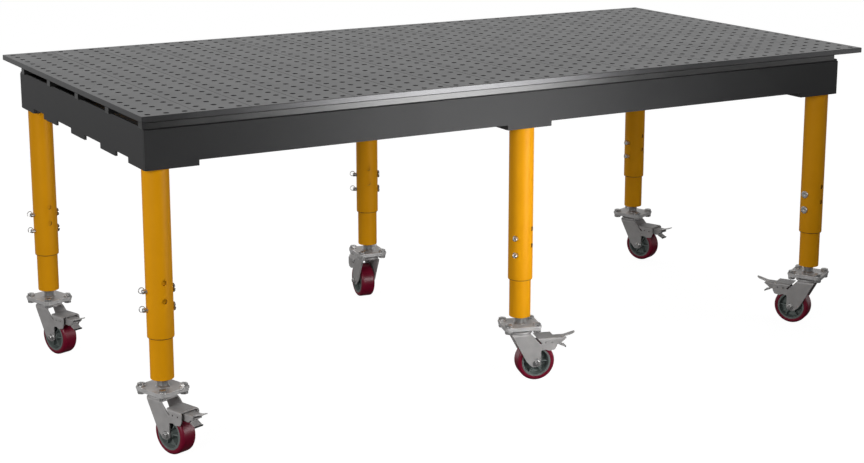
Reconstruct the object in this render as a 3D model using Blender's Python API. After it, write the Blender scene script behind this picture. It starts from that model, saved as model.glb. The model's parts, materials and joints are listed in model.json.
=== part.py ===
"""Welding table on casters, at rest, in metres with +Z up.

A drilled plank top lies on five rails and a ladder frame of steel plates. Six tube legs
telescope, are held by cross pins, and stand on swivel casters with foot brakes.
Everything is laid out from the top's front left corner and the floor, then the whole
table is centred over the origin.
"""

import math

import bmesh
import bpy
from mathutils import Matrix, Vector

IN = 0.0254
GAP = 0.0003
FULL_TURN = 2 * math.pi
SHARP_ANGLE = math.radians(35)
MERGE = 1e-6

# Work top: planks lie across the table, four to a section
TOP_LENGTH = 96 * IN
TOP_DEPTH = 48 * IN
TOP_HEIGHT = 36.1 * IN
PLANK_THICKNESS = 0.625 * IN
PLANK_CHAMFER = 0.0012
SECTIONS = 4

# Rails between the planks and the frame
RAILS = 5
RAIL_LENGTH = 91.5 * IN
RAIL_WIDTH = 1.06 * IN
RAIL_THICKNESS = 0.625 * IN
RAIL_PITCH = 9.83 * IN

# Ladder frame of plates on edge
FRAME_LEFT = 0.35 * IN
FRAME_RIGHT = 92.6 * IN
FRAME_FRONT = 0.5 * IN
FRAME_BACK = 42.15 * IN
PLATE = 0.25 * IN
FRAME_TOP = TOP_HEIGHT - PLANK_THICKNESS - RAIL_THICKNESS - 2 * GAP
FRAME_BOTTOM = TOP_HEIGHT - 5.1 * IN
PAD_BOTTOM = TOP_HEIGHT - 5.69 * IN
PAD_WIDTH = 5.9 * IN
BAY_STARTS = (FRAME_LEFT, 43.53 * IN, FRAME_RIGHT - PAD_WIDTH)
RIB_PADS = ((0, 4.85), (8.65, 13.4), (18.5, 23.15), (28.25, 33.0), (36.8, 41.65))
EDGE_BREAK = 0.0008

# Legs
LEG_COLUMNS = (2.06 * IN, 46.48 * IN, 90.88 * IN)
LEG_ROWS = (2.2 * IN, 40.45 * IN)
FLANGE_DEPTH = 4.5 * IN
FLANGE_THICKNESS = 0.5 * IN
OUTER_RADIUS = 1.428 * IN
OUTER_BORE = 1.275 * IN
OUTER_BOTTOM = TOP_HEIGHT - 23.8 * IN
INNER_RADIUS = 1.25 * IN
INNER_BORE = 1.05 * IN
INNER_TOP = TOP_HEIGHT - 14.5 * IN
INNER_BOTTOM = TOP_HEIGHT - 28.31 * IN
INNER_FLOOR = INNER_BOTTOM + 1.0 * IN
OUTER_BORE_TOP = PAD_BOTTOM - 0.4 * IN
INNER_EDGE = 0.06 * IN
TUBE_SIDES = 20

# Cross pins, and the empty holes between them that turn the leg's height in single steps
PIN_RADIUS = 0.25 * IN
PIN_HEIGHTS = (TOP_HEIGHT - 18.7 * IN, TOP_HEIGHT - 20.7 * IN)
PIN_TIP = 1.9 * IN
PIN_HEAD_RADIUS = 0.48 * IN
PIN_HEAD = 0.19 * IN
PIN_EDGE = 0.05 * IN
HOLE_RADIUS = PIN_RADIUS + 0.0005
EMPTY_HOLE_HEIGHTS = (TOP_HEIGHT - 17.67 * IN, TOP_HEIGHT - 19.67 * IN)
LEG_TRAVEL = 0.070
ROUND_SIDES = 12

# Foot: the stem and the plates that the caster is bolted under
STEM_RADIUS = 0.62 * IN
FOOT_TOP = 6.9 * IN
FOOT_BOTTOM = 6.4 * IN
FOOT_LENGTH = 4.5 * IN
FOOT_WIDTH = 4.0 * IN
FOOT_CORNER = 0.4 * IN
WELD_SLOPE = 0.1 * IN
RACE_RADIUS = 1.35 * IN
RACE_BOTTOM = 6.15 * IN

# Caster: lengths are along its trailing direction, heights from the floor
WHEEL_RADIUS = 2.25 * IN
WHEEL_WIDTH = 1.86 * IN
TRAIL = 1.83 * IN
AXLE_RADIUS = 0.25 * IN
AXLE_BORE = AXLE_RADIUS + 0.0005
AXLE_HALF = 1.48 * IN
HEAD_RADIUS = 1.5 * IN
HEAD_TOP = 6.12 * IN
CROWN_TOP = 5.9 * IN
CROWN_THICKNESS = 0.2 * IN
CROWN_BACK = 0.8 * IN
FORK_INNER = 1.08 * IN
FORK_PLATE = 0.2 * IN
FORK_FRONT = -1.33 * IN
BRAKE_COVER_TOP = 5.2 * IN
BRAKE_COVER_SHEET = 0.12 * IN
BRAKE_COVER_START = 1.95 * IN
BRAKE_COVER_END = 4.25 * IN
BRAKE_PIVOT = Vector((3.95 * IN, 0, 4.7 * IN))
BRAKE_HALF_WIDTH = 0.72 * IN
TREAD_SHOULDER = 0.12 * IN
HUB_DISH = 0.3 * IN
RIM_RADIUS = 1.68 * IN
BOSS_RADIUS = 0.62 * IN
WHEEL_SIDES = 28

# Headings in degrees: where each pin's head points, and where each caster trails
LEGS = (
    ("front_left", 0, 0, 1, -70.6),
    ("front_middle", 1, 0, 36, -17.1),
    ("front_right", 2, 0, 192, 121.0),
    ("back_left", 0, 1, 5, -70.9),
    ("back_middle", 1, 1, -20, 82.6),
    ("back_right", 2, 1, 14, -68.8),
)


def material(name, color, roughness, metallic):
    made = bpy.data.materials.new(name)
    made.use_nodes = True
    shader = made.node_tree.nodes["Principled BSDF"]
    shader.inputs["Base Color"].default_value = (*color, 1)
    shader.inputs["Roughness"].default_value = roughness
    shader.inputs["Metallic"].default_value = metallic
    return made


def finished(name, bm, finish=None):
    """An object of this mesh, closed and facing out, shaded smooth where it is round."""
    bmesh.ops.recalc_face_normals(bm, faces=bm.faces)
    mesh = bpy.data.meshes.new(name)
    bm.to_mesh(mesh)
    bm.free()
    mesh.shade_smooth()
    mesh.set_sharp_from_angle(angle=SHARP_ANGLE)
    if finish:
        mesh.materials.append(finish)
    made = bpy.data.objects.new(name, mesh)
    bpy.context.scene.collection.objects.link(made)
    return made


def box(bm, low, high):
    center = (Vector(low) + Vector(high)) / 2
    size = Vector(high) - Vector(low)
    placed = Matrix.Translation(center) @ Matrix.Diagonal((*size, 1))
    bmesh.ops.create_cube(bm, size=1, matrix=placed)


def prism(bm, outline, start, end):
    """The outline of (X, Z) points, extruded along Y from start to end."""
    face = bm.faces.new([bm.verts.new((x, start, z)) for x, z in outline])
    sides = bmesh.ops.extrude_face_region(bm, geom=[face], use_keep_orig=True)["geom"]
    moved = [item for item in sides if isinstance(item, bmesh.types.BMVert)]
    bmesh.ops.translate(bm, vec=(0, end - start, 0), verts=moved)


def turned(bm, profile, sides, axis="Z"):
    """The closed profile of (radius, distance along the axis) points, spun round that axis."""
    along_z = axis == "Z"
    verts = [bm.verts.new((r, 0, a) if along_z else (r, a, 0)) for r, a in profile]
    pairs = [(verts[i - 1], verts[i]) for i in range(len(verts))]
    edges = [bm.edges.new(pair) for pair in pairs if max(v.co.x for v in pair) > 0]
    turn_axis = (0, 0, 1) if along_z else (0, 1, 0)
    bmesh.ops.spin(
        bm, geom=edges, cent=(0, 0, 0), axis=turn_axis, angle=FULL_TURN, steps=sides, use_merge=True
    )
    bmesh.ops.remove_doubles(bm, verts=bm.verts, dist=MERGE)


def cylinder(bm, radius, start, end, sides, axis="Z"):
    turned(bm, [(0, start), (radius, start), (radius, end), (0, end)], sides, axis)


def turn_about_z(bm, degrees, center=(0, 0)):
    matrix = Matrix.Rotation(math.radians(degrees), 4, "Z")
    bmesh.ops.rotate(bm, verts=bm.verts, cent=(*center, 0), matrix=matrix.to_3x3())


def empty(name, parent, location=(0, 0, 0), heading=0.0):
    made = bpy.data.objects.new(name, None)
    bpy.context.scene.collection.objects.link(made)
    made.parent = parent
    made.location = location
    made.rotation_euler = (0, 0, math.radians(heading))
    return made


def helper(bm, parent):
    """A mesh that only takes part in a Boolean."""
    made = finished("helper", bm)
    made.parent = parent
    made.hide_render = True
    made.display_type = "WIRE"
    return made


def combine(obj, bm, operation):
    modifier = obj.modifiers.new(operation.title(), "BOOLEAN")
    modifier.operation = operation
    modifier.object = helper(bm, obj.parent)


def soften(obj):
    """Breaks a plate's sharp edges."""
    modifier = obj.modifiers.new("Edge break", "BEVEL")
    modifier.width = EDGE_BREAK
    modifier.segments = 1
    modifier.limit_method = "ANGLE"


def top_sections(table, steel):
    width = TOP_LENGTH / SECTIONS
    for i in range(SECTIONS):
        bm = bmesh.new()
        low = (i * width + GAP / 2, 0, TOP_HEIGHT - PLANK_THICKNESS)
        box(bm, low, ((i + 1) * width - GAP / 2, TOP_DEPTH, TOP_HEIGHT))
        rim = [e for e in bm.edges if all(v.co.z > TOP_HEIGHT - GAP for v in e.verts)]
        bmesh.ops.bevel(bm, geom=rim, offset=PLANK_CHAMFER, segments=1, affect="EDGES")
        finished(f"top_plank_section_{i + 1}", bm, steel).parent = table


def rails(table, steel):
    top = TOP_HEIGHT - PLANK_THICKNESS - GAP
    for i in range(RAILS):
        bm = bmesh.new()
        front = i * RAIL_PITCH
        box(bm, (0, front, top - RAIL_THICKNESS), (RAIL_LENGTH, front + RAIL_WIDTH, top))
        rail = finished(f"support_rail_{i + 1}", bm, steel)
        rail.parent = table
        soften(rail)


def padded_outline(start, end, pads):
    """A plate on edge: straight along its top, and lower along its bottom at each pad."""
    outline = [(start, FRAME_TOP), (start, FRAME_BOTTOM)]
    for pad_start, pad_end in pads:
        outline += [(pad_start, FRAME_BOTTOM), (pad_start, PAD_BOTTOM)]
        outline += [(pad_end, PAD_BOTTOM), (pad_end, FRAME_BOTTOM)]
    outline += [(end, FRAME_BOTTOM), (end, FRAME_TOP)]
    return [point for i, point in enumerate(outline) if point not in outline[:i]]


def aprons(table, paint):
    pads = [(start, start + PAD_WIDTH) for start in BAY_STARTS]
    rows = (("front_apron", FRAME_FRONT), ("back_apron", FRAME_BACK - PLATE))
    for name, front in rows:
        bm = bmesh.new()
        prism(bm, padded_outline(FRAME_LEFT, FRAME_RIGHT, pads), front, front + PLATE)
        apron = finished(name, bm, paint)
        apron.parent = table
        soften(apron)


def rib_outline():
    """The same plate across the table, between the aprons, where its end pads stop short."""
    start = FRAME_FRONT + PLATE + GAP
    end = FRAME_BACK - PLATE - GAP
    pads = [(FRAME_FRONT + a * IN, FRAME_FRONT + b * IN) for a, b in RIB_PADS]
    pads[0] = (start, pads[0][1])
    pads[-1] = (pads[-1][0], end)
    return padded_outline(start, end, pads)


def ribs(table, paint):
    names = ("left_end_plate", "left_rib", "middle_left_rib")
    names += ("middle_right_rib", "right_rib", "right_end_plate")
    starts = [x for start in BAY_STARTS for x in (start, start + PAD_WIDTH - PLATE)]
    for name, start in zip(names, starts):
        bm = bmesh.new()
        prism(bm, rib_outline(), 0, PLATE)
        rib = finished(name, bm, paint)
        rib.parent = table
        rib.location = (start + PLATE, 0, 0)
        rib.rotation_euler = (0, 0, math.radians(90))
        soften(rib)


def outer_tube(name, parent, bay, heading, paint):
    """The upper tube, hanging from a flange that fits inside the frame's bay, drilled for the pins."""
    bm = bmesh.new()
    tube_top = PAD_BOTTOM + FLANGE_THICKNESS / 2
    profile = [(0, tube_top), (OUTER_RADIUS, tube_top), (OUTER_RADIUS, OUTER_BOTTOM)]
    profile += [(OUTER_BORE, OUTER_BOTTOM), (OUTER_BORE, OUTER_BORE_TOP), (0, OUTER_BORE_TOP)]
    turned(bm, profile, TUBE_SIDES)
    tube = finished(name, bm, paint)
    tube.parent = parent
    bm = bmesh.new()
    box(bm, *bay)
    combine(tube, bm, "UNION")
    drill(tube, heading, PIN_HEIGHTS, HOLE_RADIUS)
    drill(tube, heading + 90, EMPTY_HOLE_HEIGHTS, HOLE_RADIUS)
    return tube


def drill(tube, heading, heights, radius):
    """Cross holes right through a tube, one above the other."""
    for height in heights:
        bm = bmesh.new()
        reach = OUTER_RADIUS + IN
        cylinder(bm, radius, -reach, reach, ROUND_SIDES, axis="Y")
        bmesh.ops.translate(bm, vec=(0, 0, height), verts=bm.verts)
        turn_about_z(bm, heading - 90)
        combine(tube, bm, "DIFFERENCE")


def cross_pin(name, parent, height, heading, metal):
    """A clevis pin: a round bar with a flat head."""
    bm = bmesh.new()
    under_head = OUTER_RADIUS + GAP
    shoulder = under_head + PIN_HEAD
    profile = [(0, -PIN_TIP), (PIN_RADIUS - PIN_EDGE, -PIN_TIP), (PIN_RADIUS, PIN_EDGE - PIN_TIP)]
    profile += [(PIN_RADIUS, under_head), (PIN_HEAD_RADIUS, under_head)]
    profile += [(PIN_HEAD_RADIUS, shoulder - PIN_EDGE), (PIN_HEAD_RADIUS - PIN_EDGE, shoulder)]
    profile += [(0, shoulder)]
    turned(bm, profile, ROUND_SIDES, axis="Y")
    pin = finished(name, bm, metal)
    pin.parent = parent
    pin.location = (0, 0, height)
    pin.rotation_euler = (0, 0, math.radians(heading - 90))


def inner_tube(name, parent, pin_heading, caster_heading, paint):
    """The lower tube, slotted for the pins, with its stem, foot plate and the caster's fixed race."""
    bm = bmesh.new()
    profile = [(0, INNER_FLOOR), (INNER_BORE, INNER_FLOOR), (INNER_BORE, INNER_TOP)]
    profile += [(INNER_RADIUS, INNER_TOP), (INNER_RADIUS, INNER_BOTTOM + INNER_EDGE)]
    profile += [(INNER_RADIUS - INNER_EDGE, INNER_BOTTOM), (STEM_RADIUS, INNER_BOTTOM)]
    profile += [(STEM_RADIUS, FOOT_TOP - GAP), (RACE_RADIUS, FOOT_TOP - WELD_SLOPE)]
    profile += [(RACE_RADIUS, RACE_BOTTOM), (0, RACE_BOTTOM)]
    turned(bm, profile, TUBE_SIDES)
    tube = finished(name, bm, paint)
    tube.parent = parent
    bm = bmesh.new()
    low = (-FOOT_LENGTH / 2, -FOOT_WIDTH / 2, FOOT_BOTTOM)
    box(bm, low, (FOOT_LENGTH / 2, FOOT_WIDTH / 2, FOOT_TOP))
    corners = [e for e in bm.edges if abs(e.verts[0].co.z - e.verts[1].co.z) > GAP]
    bmesh.ops.bevel(bm, geom=corners, offset=FOOT_CORNER, segments=2, affect="EDGES")
    turn_about_z(bm, caster_heading)
    combine(tube, bm, "UNION")
    bm = bmesh.new()
    reach = INNER_RADIUS + IN
    low = (-reach, -HOLE_RADIUS, min(PIN_HEIGHTS) - HOLE_RADIUS)
    box(bm, low, (reach, HOLE_RADIUS, max(PIN_HEIGHTS) + HOLE_RADIUS + LEG_TRAVEL))
    turn_about_z(bm, pin_heading)
    combine(tube, bm, "DIFFERENCE")
    return tube


def fork_outline():
    """One side of the fork, seen from the side: leg, wheel axle end and brake cover in one plate."""
    outline = [(-1.33, 5.9), (0.86, 5.9), (1.95, 4.75), (1.95, 5.2), (4.0, 5.2)]
    outline += [(4.25, 4.95), (4.25, 4.1), (4.0, 3.75), (2.33, 3.6)]
    outline += [(2.33, 2.05), (2.1, 1.77), (1.5, 1.7), (1.0, 1.92), (0.56, 2.4)]
    return [(x * IN, z * IN) for x, z in outline]


def fork(name, parent, metal):
    bm = bmesh.new()
    prism(bm, fork_outline(), FORK_INNER, FORK_INNER + FORK_PLATE)
    body = finished(name, bm, metal)
    body.parent = parent
    overlap = FORK_PLATE / 2
    other_side = bmesh.new()
    prism(other_side, fork_outline(), -FORK_INNER - FORK_PLATE, -FORK_INNER)
    crown = bmesh.new()
    low = (FORK_FRONT + overlap, -FORK_INNER - overlap, CROWN_TOP - CROWN_THICKNESS)
    box(crown, low, (CROWN_BACK, FORK_INNER + overlap, CROWN_TOP - GAP))
    head = bmesh.new()
    cylinder(head, HEAD_RADIUS, CROWN_TOP - CROWN_THICKNESS / 2, HEAD_TOP, TUBE_SIDES)
    cover = bmesh.new()
    cover_low = (BRAKE_COVER_START + GAP, -FORK_INNER - overlap, BRAKE_COVER_TOP - BRAKE_COVER_SHEET)
    cover_high = (BRAKE_COVER_END - FOOT_CORNER, FORK_INNER + overlap, BRAKE_COVER_TOP - GAP)
    box(cover, cover_low, cover_high)
    axle = bmesh.new()
    cylinder(axle, AXLE_RADIUS, -AXLE_HALF, AXLE_HALF, ROUND_SIDES, axis="Y")
    bmesh.ops.translate(axle, vec=(TRAIL, 0, WHEEL_RADIUS), verts=axle.verts)
    for piece in (other_side, crown, head, cover, axle):
        combine(body, piece, "UNION")


def wheel(name, parent, tread):
    """Tread and hub, turned about the axle, with a recess in each face."""
    bm = bmesh.new()
    half = WHEEL_WIDTH / 2
    side = [(AXLE_BORE, half), (BOSS_RADIUS, half), (BOSS_RADIUS, half - HUB_DISH)]
    side += [(RIM_RADIUS, half - HUB_DISH), (RIM_RADIUS, half)]
    side += [(WHEEL_RADIUS - TREAD_SHOULDER, half), (WHEEL_RADIUS, half - TREAD_SHOULDER)]
    turned(bm, side + [(r, -a) for r, a in reversed(side)], WHEEL_SIDES, axis="Y")
    finished(name, bm, tread).parent = parent


def brake_pedal(name, parent, metal):
    """A rocker in the brake cover's open end: a long foot lever above, a release tab below."""
    outline = [(3.55, 4.5), (3.55, 4.9), (4.3, 5.02), (5.3, 5.0), (6.6, 5.02), (6.85, 5.12)]
    outline += [(6.9, 5.0), (6.6, 4.87), (5.3, 4.83), (4.6, 4.7), (5.0, 4.0), (5.4, 3.75)]
    outline += [(5.3, 3.55), (4.8, 3.75), (4.45, 4.2)]
    bm = bmesh.new()
    points = [(x * IN - BRAKE_PIVOT.x, z * IN - BRAKE_PIVOT.z) for x, z in outline]
    prism(bm, points, -BRAKE_HALF_WIDTH, BRAKE_HALF_WIDTH)
    finished(name, bm, metal).parent = parent


def leg(table, where, column, row, pin_heading, caster_heading, finishes):
    """One leg and its caster. Each empty stands on the axis of one joint."""
    paint, zinc, tread = finishes
    place = (LEG_COLUMNS[column], LEG_ROWS[row], 0)
    post = empty(f"{where}_post", table, place)
    inside = (BAY_STARTS[column] + PLATE + GAP, BAY_STARTS[column] + PAD_WIDTH - PLATE - GAP)
    front = FRAME_FRONT + PLATE + GAP if row == 0 else FRAME_BACK - PLATE - GAP - FLANGE_DEPTH
    low = Vector((inside[0], front, PAD_BOTTOM)) - post.location
    high = Vector((inside[1], front + FLANGE_DEPTH, PAD_BOTTOM + FLANGE_THICKNESS)) - post.location
    outer_tube(f"{where}_outer_tube", post, (low, high), pin_heading, paint)
    for label, height in zip(("upper", "lower"), PIN_HEIGHTS):
        cross_pin(f"{where}_{label}_pin", post, height, pin_heading, zinc)
    slide = empty(f"{where}_height_slide", post)
    inner_tube(f"{where}_inner_tube", slide, pin_heading, caster_heading, paint)
    swivel = empty(f"{where}_caster_swivel", slide, heading=caster_heading)
    fork(f"{where}_caster_fork", swivel, zinc)
    axle = empty(f"{where}_wheel_axle", swivel, (TRAIL, 0, WHEEL_RADIUS))
    wheel(f"{where}_wheel", axle, tread)
    pivot = empty(f"{where}_brake_pivot", swivel, BRAKE_PIVOT)
    brake_pedal(f"{where}_brake_pedal", pivot, zinc)


def centre_over_origin(table):
    """Moves the table so that the middle of everything it covers is over the origin."""
    bpy.context.view_layer.update()
    solids = [o for o in bpy.data.objects if o.type == "MESH" and not o.hide_render]
    corners = [o.matrix_world @ Vector(c) for o in solids for c in o.bound_box]
    for axis in (0, 1):
        values = [corner[axis] for corner in corners]
        table.location[axis] = -(min(values) + max(values)) / 2


def main():
    for obj in list(bpy.data.objects):
        bpy.data.objects.remove(obj)
    steel = material("machined_steel", (0.16, 0.16, 0.165), 0.45, 0.9)
    frame_paint = material("frame_paint", (0.045, 0.046, 0.05), 0.5, 0.0)
    leg_paint = material("leg_paint", (0.82, 0.42, 0.02), 0.35, 0.0)
    zinc = material("zinc_plate", (0.6, 0.6, 0.58), 0.35, 0.9)
    tread = material("wheel_tread", (0.3, 0.01, 0.04), 0.4, 0.0)
    table = empty("table_datum", None)
    top_sections(table, steel)
    rails(table, steel)
    aprons(table, frame_paint)
    ribs(table, frame_paint)
    for place in LEGS:
        leg(table, *place, (leg_paint, zinc, tread))
    centre_over_origin(table)


main()
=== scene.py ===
"""The look of the welding table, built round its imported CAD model.

Sizes are in inches times IN. Every caster piece is laid out once, with x along the
caster's trailing direction and z up from the floor, and then placed under each leg.
"""

import json
import math

import bmesh
import bpy
from mathutils import Matrix, Vector


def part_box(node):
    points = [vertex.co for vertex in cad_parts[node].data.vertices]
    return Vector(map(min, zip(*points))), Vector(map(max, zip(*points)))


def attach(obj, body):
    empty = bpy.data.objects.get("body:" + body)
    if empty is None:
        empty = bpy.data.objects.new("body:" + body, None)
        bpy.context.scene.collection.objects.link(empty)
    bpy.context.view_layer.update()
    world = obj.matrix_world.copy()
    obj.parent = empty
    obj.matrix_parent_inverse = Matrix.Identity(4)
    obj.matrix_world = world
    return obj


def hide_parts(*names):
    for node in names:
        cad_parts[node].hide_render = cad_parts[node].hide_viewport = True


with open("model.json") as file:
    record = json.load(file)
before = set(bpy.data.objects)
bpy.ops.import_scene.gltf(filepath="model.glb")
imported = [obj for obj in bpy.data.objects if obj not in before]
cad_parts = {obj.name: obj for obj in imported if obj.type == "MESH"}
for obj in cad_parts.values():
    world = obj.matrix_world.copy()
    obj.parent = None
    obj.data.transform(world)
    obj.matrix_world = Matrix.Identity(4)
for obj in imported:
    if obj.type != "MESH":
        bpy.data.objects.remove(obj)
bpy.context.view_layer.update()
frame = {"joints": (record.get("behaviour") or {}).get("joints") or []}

IN = 0.0254
LEGS = ("front_left", "front_middle", "front_right", "back_left", "back_middle", "back_right")
JOINTS = {joint["name"]: joint for joint in frame["joints"]}

FIRST_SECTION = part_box("top_plank_section_1")
LEFT, FRONT, UNDERSIDE = FIRST_SECTION[0]
TOP = FIRST_SECTION[1].z
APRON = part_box("front_apron")

# An edge that turns more than this is bevelled, and shaded sharp.
SHARP = math.radians(35)
# Points nearer than this are one point.
MERGE = 1e-6
# The most of a side that the round of one corner takes, so that two rounds never meet.
HALF_SIDE = 0.49
# Where the middle point of a rounded rim lies, as a share of the round.
RIM_ROUND = 0.3
DISC_EDGE = 0.02 * IN
HEX_CHAMFER = 0.05 * IN
# How far the chamfer goes down a nut's sides, as a share of how far it goes in.
HEX_SLOPE = 0.6
# How many sides the round shapes have.
WIRE_SIDES = 10
DISC_SIDES = 28
PIN_SIDES = 40
RACE_SIDES = 56
TUBE_SIDES = 64
WHEEL_SIDES = 72


# ---------------------------------------------------------------- meshes


def inches(points):
    return [(x * IN, z * IN) for x, z in points]


def rectangle(low, high):
    return [(low[0], low[1]), (high[0], low[1]), (high[0], high[1]), (low[0], high[1])]


def on_circle(middle, radius, angle):
    return middle[0] + radius * math.cos(angle), middle[1] + radius * math.sin(angle)


def bridge(bm, first, second):
    """A band of faces between two rings that have as many points as each other."""
    return [bm.faces.new((first[k - 1], first[k], second[k], second[k - 1])) for k in range(len(first))]


def lathe(bm, profile, sides, axis="Z"):
    """Turns a profile of (radius, distance along the axis) points. Off the axis, its two ends are joined."""
    rings = []
    for radius, along in profile:
        ring = []
        for i in range(sides if radius > 0 else 1):
            across, deep = on_circle((0, 0), radius, 2 * math.pi * i / sides)
            point = (across, deep, along) if axis == "Z" else (across, along, deep)
            ring.append(bm.verts.new(point))
        rings.append(ring)
    pairs = list(zip(rings, rings[1:]))
    if len(rings[0]) > 1 and len(rings[-1]) > 1:
        pairs.append((rings[-1], rings[0]))
    for first, second in pairs:
        for i in range(sides):
            corners = [first[i % len(first)], first[(i + 1) % len(first)]]
            corners += [second[(i + 1) % len(second)], second[i % len(second)]]
            corners = list(dict.fromkeys(corners))
            if len(corners) > 2:
                bm.faces.new(corners)


def rounded_rim(radius, end, edge, inward=1):
    """Profile points round a rim, from its side to its end. inward is -1 where the piece is below its end."""
    near = RIM_ROUND * edge
    return [(radius, end + inward * edge), (radius - near, end + inward * near), (radius - edge, end)]


def prism(bm, outline, start, end, axis="Y"):
    """Extrudes an outline of (across, up) points along Y, X or Z."""
    place = {
        "Y": lambda p, d: (p[0], d, p[1]),
        "X": lambda p, d: (d, p[0], p[1]),
        "Z": lambda p, d: (p[0], p[1], d),
    }[axis]
    near = [bm.verts.new(place(p, start)) for p in outline]
    far = [bm.verts.new(place(p, end)) for p in outline]
    bm.faces.new(near)
    bm.faces.new(far[::-1])
    bridge(bm, near, far)


def box(bm, low, high):
    prism(bm, rectangle(low, high), low[2], high[2], "Z")


def fillet(outline, radius, steps):
    """Rounds every corner of an outline. radius is one number, or one for each corner."""
    rounded = []
    count = len(outline)
    radii = [radius] * count if isinstance(radius, (int, float)) else radius
    for i in range(count):
        corner = Vector(outline[i])
        before = Vector(outline[i - 1]) - corner
        after = Vector(outline[(i + 1) % count]) - corner
        reach = radii[i] / math.tan(before.angle(after) / 2)
        reach = min(reach, before.length * HALF_SIDE, after.length * HALF_SIDE)
        if reach < MERGE:
            rounded.append(tuple(corner))
            continue
        start, end = corner + before.normalized() * reach, corner + after.normalized() * reach
        for k in range(steps + 1):
            t = k / steps
            point = start * (1 - t) ** 2 + corner * 2 * t * (1 - t) + end * t ** 2
            rounded.append(tuple(point))
    return rounded


def sweep(bm, path, radius):
    """A round bar along a path of points, with flat ends."""
    points = [Vector(p) for p in path]
    rings = []
    side = None
    for i, point in enumerate(points):
        ahead = points[min(i + 1, len(points) - 1)] - points[max(i - 1, 0)]
        ahead.normalize()
        if side is None:
            side = ahead.orthogonal().normalized()
        side = (side - ahead * side.dot(ahead)).normalized()
        other = ahead.cross(side)
        ring = []
        for k in range(WIRE_SIDES):
            angle = 2 * math.pi * k / WIRE_SIDES
            ring.append(bm.verts.new(point + (side * math.cos(angle) + other * math.sin(angle)) * radius))
        rings.append(ring)
    for first, second in zip(rings, rings[1:]):
        bridge(bm, first, second)
    bm.faces.new(rings[0][::-1])
    bm.faces.new(rings[-1])


def disc(bm, middle, radius, low, high, sides=DISC_SIDES):
    """A washer, a plain bar or a round boss, its rims broken."""
    start = len(bm.verts)
    profile = [(0, low), (radius - DISC_EDGE, low), (radius, low + DISC_EDGE)]
    profile += [(radius, high - DISC_EDGE), (radius - DISC_EDGE, high), (0, high)]
    lathe(bm, profile, sides)
    bm.verts.ensure_lookup_table()
    bmesh.ops.translate(bm, vec=(middle[0], middle[1], 0), verts=bm.verts[start:])


def hex_shape(bm, middle, across, low, high):
    """A hexagonal nut or bolt head, its corners turned off at the top and bottom."""
    corner = across / math.cos(math.radians(30)) / 2
    face, slope = corner - HEX_CHAMFER, HEX_CHAMFER * HEX_SLOPE
    rings = []
    for z, radius in ((low, face), (low + slope, corner), (high - slope, corner), (high, face)):
        angles = [math.radians(60 * k + 30) for k in range(6)]
        rings.append([bm.verts.new((*on_circle(middle, radius, angle), z)) for angle in angles])
    for first, second in zip(rings, rings[1:]):
        bridge(bm, first, second)
    bm.faces.new(rings[0][::-1])
    bm.faces.new(rings[-1])


def plain_object(name, bm):
    bmesh.ops.remove_doubles(bm, verts=bm.verts, dist=MERGE)
    bmesh.ops.recalc_face_normals(bm, faces=bm.faces)
    mesh = bpy.data.meshes.new(name)
    bm.to_mesh(mesh)
    bm.free()
    obj = bpy.data.objects.new(name, mesh)
    bpy.context.scene.collection.objects.link(obj)
    return obj


def evaluated_mesh(obj):
    """The mesh that an object's modifiers make of it."""
    bpy.context.view_layer.update()
    graph = bpy.context.evaluated_depsgraph_get()
    return bpy.data.meshes.new_from_object(obj.evaluated_get(graph))


def mesh_of(name, bm, material, bevel=0.0, cuts=(), keep=(), segments=2, more=()):
    """A finished mesh: cut, bevelled, and shaded smooth where it is round. more holds further materials."""
    obj = plain_object(name, bm)
    cutters = []
    for operation, shapes in (("DIFFERENCE", cuts), ("INTERSECT", keep)):
        for shape in shapes:
            cutter = plain_object("cutter", shape)
            modifier = obj.modifiers.new(operation, "BOOLEAN")
            modifier.operation = operation
            modifier.object = cutter
            cutters.append(cutter)
    if bevel:
        modifier = obj.modifiers.new("Bevel", "BEVEL")
        modifier.width = bevel
        modifier.segments = segments
        modifier.limit_method = "ANGLE"
        modifier.angle_limit = SHARP
        modifier.miter_outer = "MITER_ARC"
    mesh = evaluated_mesh(obj)
    for used in [obj, *cutters]:
        bpy.data.objects.remove(used)
    return shaded(name, mesh, (material, *more))


def shaded(name, mesh, materials):
    """Smooth shading that leaves the large flat faces flat."""
    mesh.shade_smooth()
    mesh.set_sharp_from_angle(angle=SHARP)
    mesh.materials.clear()
    for material in materials:
        mesh.materials.append(material)
    obj = bpy.data.objects.new(name, mesh)
    bpy.context.scene.collection.objects.link(obj)
    weighted = obj.modifiers.new("Weighted normals", "WEIGHTED_NORMAL")
    weighted.keep_sharp = True
    weighted.weight = 100
    made = evaluated_mesh(obj)
    bpy.data.objects.remove(obj)
    bpy.data.meshes.remove(mesh)
    made.name = name
    return made


def put(name, mesh, body, place=None, instead_of=()):
    """Shows a mesh as a piece that rides on a CAD body."""
    obj = bpy.data.objects.new(name, mesh)
    bpy.context.scene.collection.objects.link(obj)
    if place is not None:
        obj.matrix_world = place
    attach(obj, body)
    if instead_of:
        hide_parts(*instead_of)


# ---------------------------------------------------------------- materials


# How much the wide mottle and the close grain count in a material's mix.
WIDE_SHARE = 0.6
CLOSE_SHARE = 0.4
WIDE_DETAIL = 4.0
CLOSE_DETAIL = 3.0
# The values of the mix up to which a colour is its shade, and from which it is its base.
SHADE_TO = 0.35
BASE_FROM = 0.62
# The values of the mix between which the roughness runs.
GLOSS_SPAN = (0.3, 0.7)


def noise(tree, vector, scale, detail):
    """The strength of a noise texture, whose place is given by a vector socket."""
    texture = tree.nodes.new("ShaderNodeTexNoise")
    texture.inputs["Scale"].default_value = scale
    texture.inputs["Detail"].default_value = detail
    tree.links.new(vector, texture.inputs["Vector"])
    return texture.outputs["Fac"]


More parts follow.
